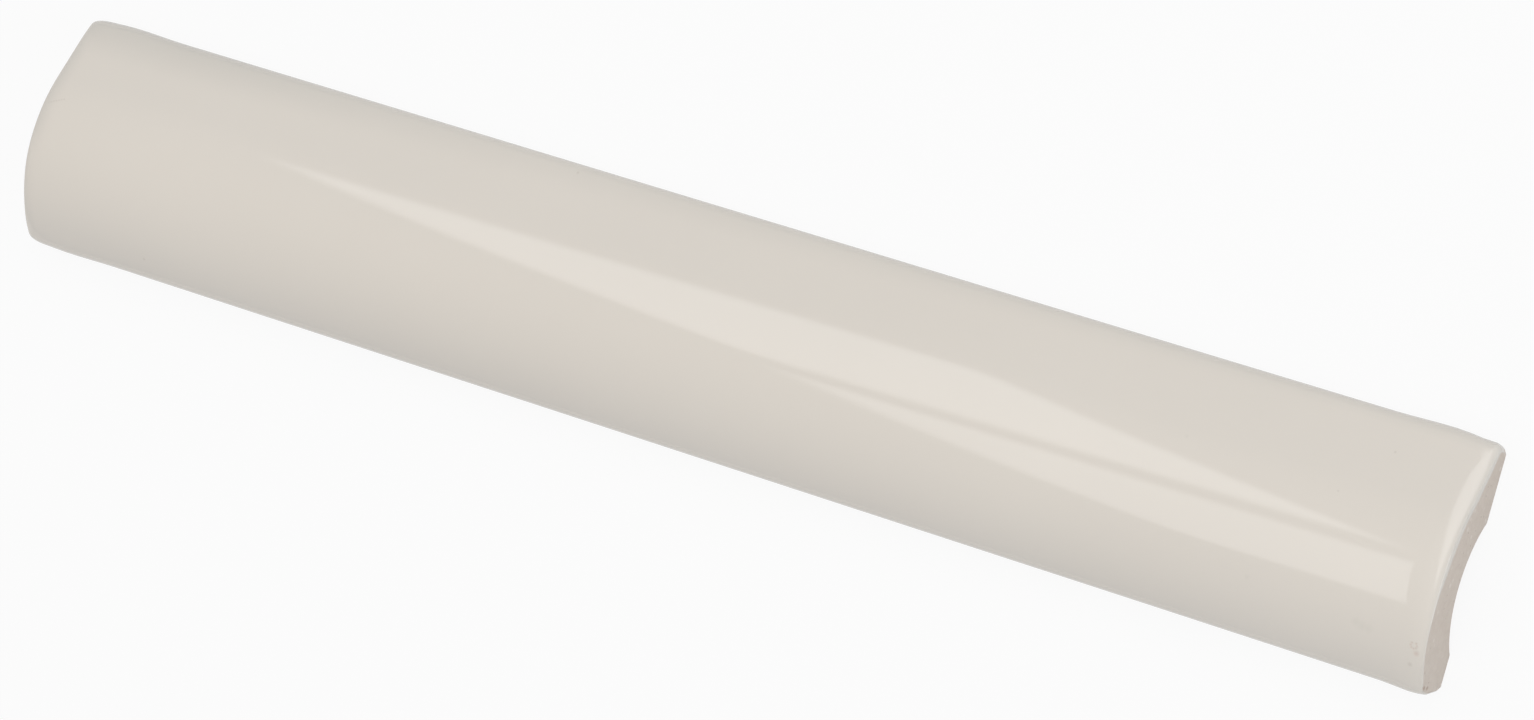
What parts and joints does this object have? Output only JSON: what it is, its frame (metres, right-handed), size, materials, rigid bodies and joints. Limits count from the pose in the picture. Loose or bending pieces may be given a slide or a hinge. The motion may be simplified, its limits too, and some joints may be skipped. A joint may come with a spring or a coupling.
{
  "type": "bullnose tile",
  "caption": "Long narrow glazed ceramic bullnose trim tile: arched front, thin tapered lip along one long edge, thicker butt along the other, flat back with a shallow groove.",
  "frame": {"origin": "middle of the flat back, at half the length and half the width", "axes": "+X along the length, +Y across the width from the thick butt to the thin lip, +Z out of the glazed front; the tile lies on its back"},
  "size_m": [0.2, 0.03, 0.0096],
  "materials": {
    "glaze": "gloss"
  },
  "bodies": {
    "root": {"bullnose_tile": "glaze"}
  },
  "joints": []
}
